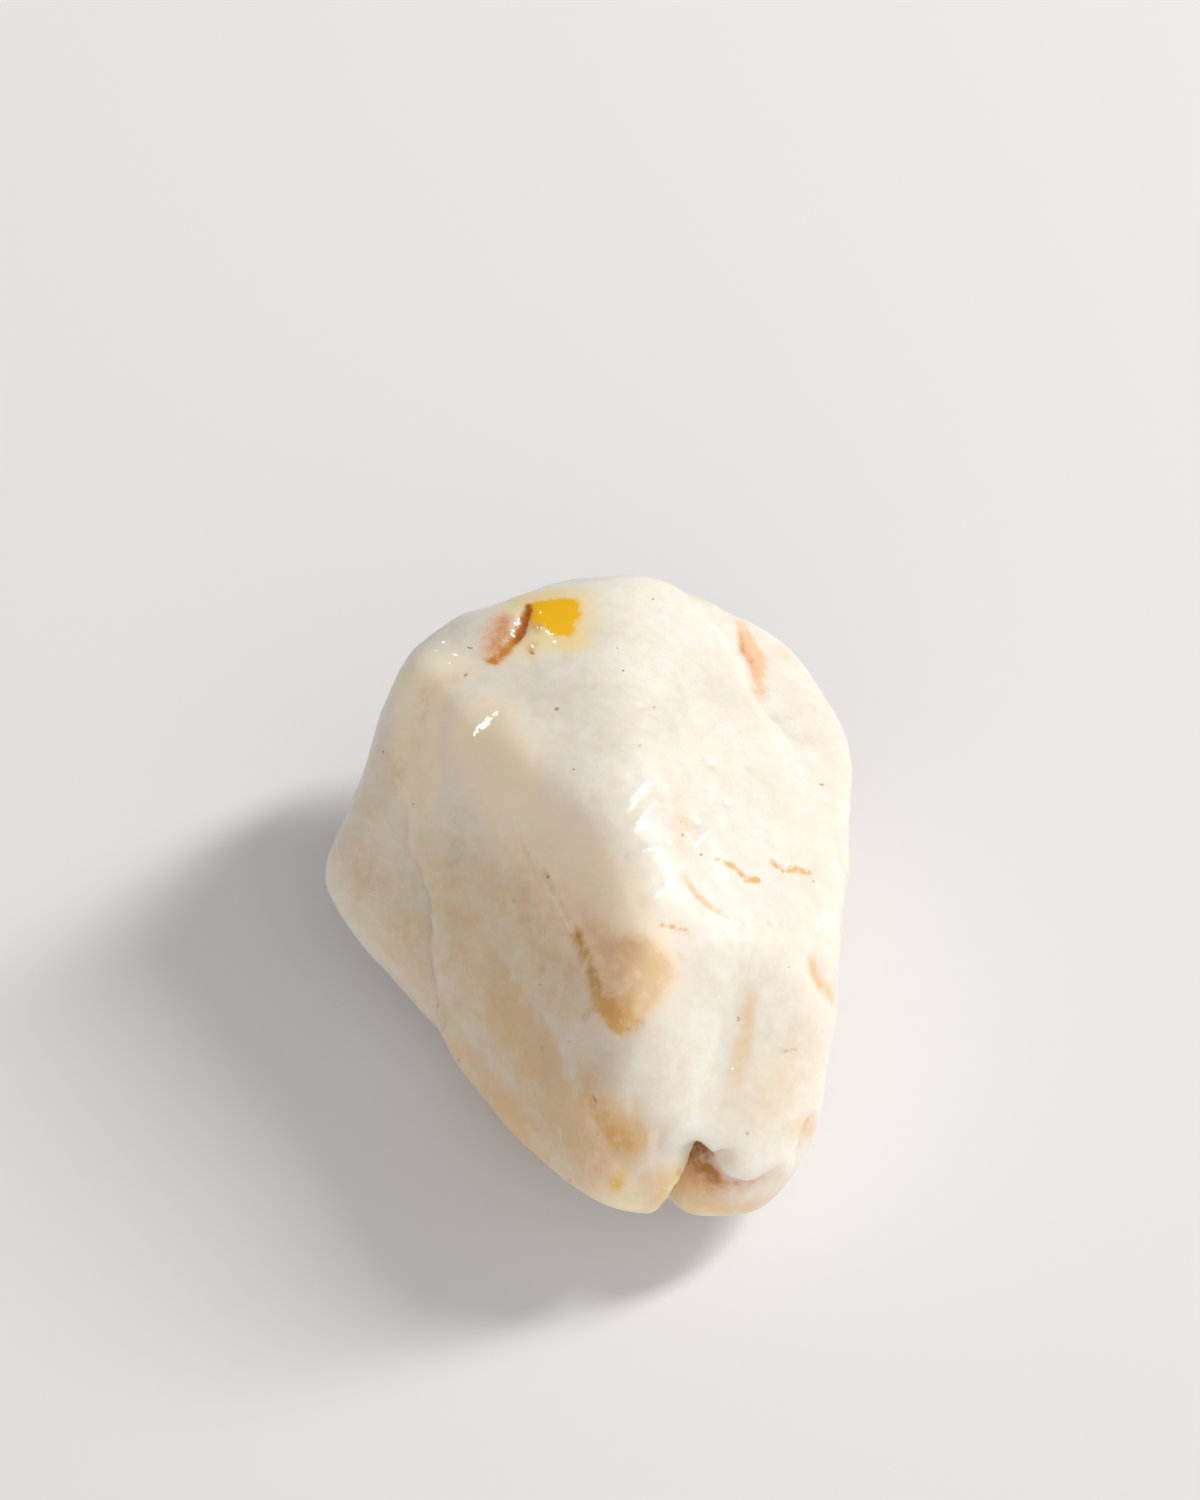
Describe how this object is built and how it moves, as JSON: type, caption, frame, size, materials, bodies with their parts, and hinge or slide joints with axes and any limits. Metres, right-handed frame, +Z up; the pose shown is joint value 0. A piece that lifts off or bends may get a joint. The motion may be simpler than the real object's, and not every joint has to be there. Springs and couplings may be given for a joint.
{
  "type": "opal",
  "caption": "Tumbled nugget of milky opal with worn facets, ledges and creases and a beak-like corner over a small cleft, lying on a small flat spot.",
  "frame": {"origin": "on the surface it rests on, under the middle of the stone's box", "axes": "+Z up, +Y along the stone's length, from its beak-like corner to its creased end"},
  "size_m": [0.021, 0.0276, 0.0136],
  "materials": {
    "opal": "tumbled, milky cream with tan and orange stains, softly glossy"
  },
  "bodies": {
    "root": {"opal": "opal"}
  },
  "joints": []
}
